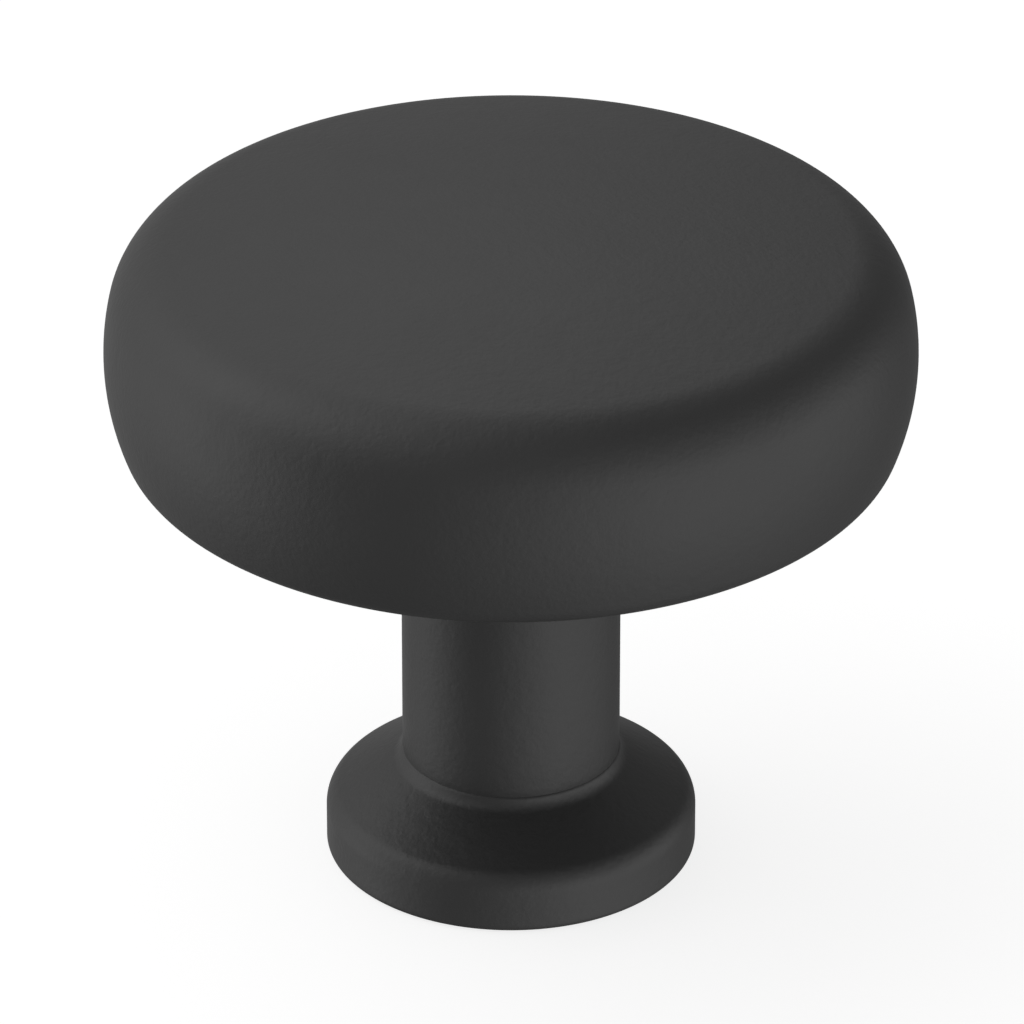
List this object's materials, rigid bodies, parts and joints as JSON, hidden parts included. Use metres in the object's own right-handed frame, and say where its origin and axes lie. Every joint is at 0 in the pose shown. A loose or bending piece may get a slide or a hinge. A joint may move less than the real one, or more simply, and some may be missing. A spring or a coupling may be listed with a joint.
{
  "type": "cabinet knob",
  "caption": "Round cabinet knob with a low-crowned mushroom head, straight stem, fine collar and flared foot, cast in one piece in matte black, with a blind tapped screw hole.",
  "frame": {"origin": "centre of the round mounting face under the foot", "axes": "+Z along the knob's axis, out from the door or drawer front towards the crowned top; X and Y across it"},
  "size_m": [0.032, 0.032, 0.0281],
  "materials": {
    "black_coat": "matte black powder coat on a smooth zinc casting"
  },
  "bodies": {
    "root": {"knob": "black_coat"}
  },
  "joints": []
}
